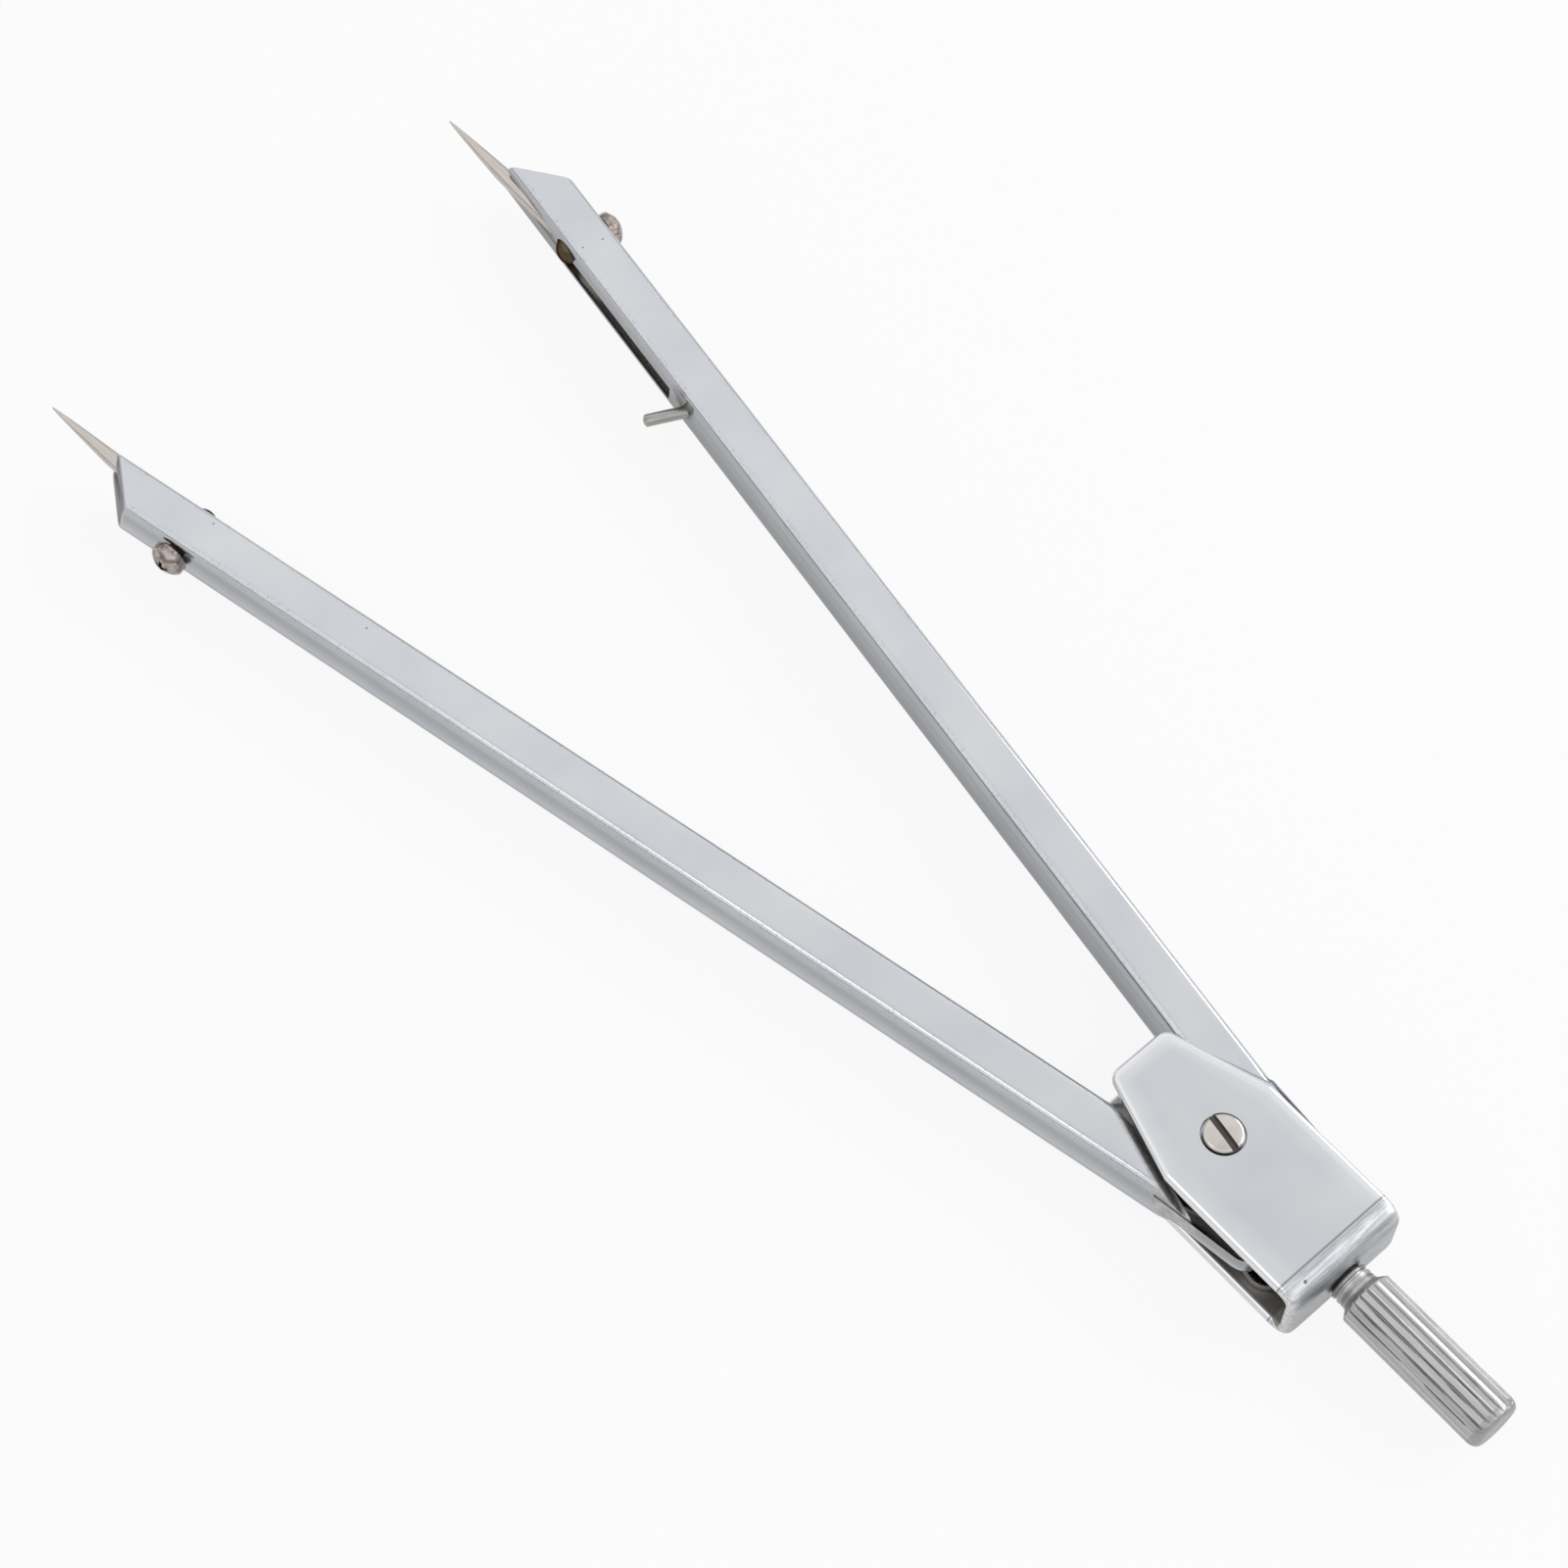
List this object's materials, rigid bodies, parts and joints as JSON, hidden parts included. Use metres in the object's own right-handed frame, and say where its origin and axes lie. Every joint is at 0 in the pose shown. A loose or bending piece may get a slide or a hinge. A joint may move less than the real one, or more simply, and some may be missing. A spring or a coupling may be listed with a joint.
{
  "type": "friction divider",
  "caption": "Drawing and marking divider: folded sheet legs with clamped needle points, on a slotted pivot screw in a bent yoke with a fluted handle.",
  "frame": {"origin": "on the yoke's back face, in the middle of its width, halfway between the pivot and the bend", "axes": "+Z out of the front face with the screw head, +Y along the yoke from the handle to the points, +X to the right leg"},
  "size_m": [0.0544, 0.1534, 0.0082],
  "materials": {
    "plated_sheet": "bright plated, fine roll grain",
    "turned_steel": "turned and fluted, dull plated",
    "nickel_screw": "nickel plated",
    "spring_washer": "plain",
    "needle_steel": "ground and polished",
    "eye_brass": "tarnished",
    "pin_steel": "drawn wire"
  },
  "bodies": {
    "yoke": {"yoke": "plated_sheet", "handle": "turned_steel", "pivot_screw": "nickel_screw", "front_washer": "spring_washer", "back_washer": "spring_washer"},
    "left_leg": {"left_leg": "plated_sheet", "left_eye": "eye_brass"},
    "right_leg": {"right_leg": "plated_sheet", "right_eye": "eye_brass", "stop_pin": "pin_steel"},
    "left_needle": {"left_needle": "needle_steel"},
    "right_needle": {"right_needle": "needle_steel"},
    "left_clamp_screw": {"left_clamp_screw": "nickel_screw"},
    "right_clamp_screw": {"right_clamp_screw": "nickel_screw"}
  },
  "joints": [
    {"name": "left_leg_swing", "type": "hinge", "parent": "yoke", "child": "left_leg", "pos_m": [0, 0.00615, 0.0039], "axis": [0, 0, 1], "range_deg": [-12.55, 15.8]},
    {"name": "right_leg_swing", "type": "hinge", "parent": "yoke", "child": "right_leg", "pos_m": [0, 0.00615, 0.0039], "axis": [0, 0, 1], "range_deg": [-19.5, 8.85]},
    {"name": "left_needle_slide", "type": "slide", "parent": "left_leg", "child": "left_needle", "axis": [-0.0906, 0.9959, 0], "range_m": [-0.005, 0.002]},
    {"name": "left_clamp_turn", "type": "hinge", "parent": "left_leg", "child": "left_clamp_screw", "pos_m": [-0.02868, 0.10758, 0.00385], "axis": [-0.9774, -0.2113, 0], "range_deg": [0, 360]},
    {"name": "right_needle_slide", "type": "slide", "parent": "right_leg", "child": "right_needle", "axis": [0.0262, 0.9997, 0], "range_m": [-0.005, 0.002]},
    {"name": "right_clamp_turn", "type": "hinge", "parent": "right_leg", "child": "right_clamp_screw", "pos_m": [0.02208, 0.10922, 0.00385], "axis": [0.989, -0.1478, 0], "range_deg": [0, 360]}
  ]
}
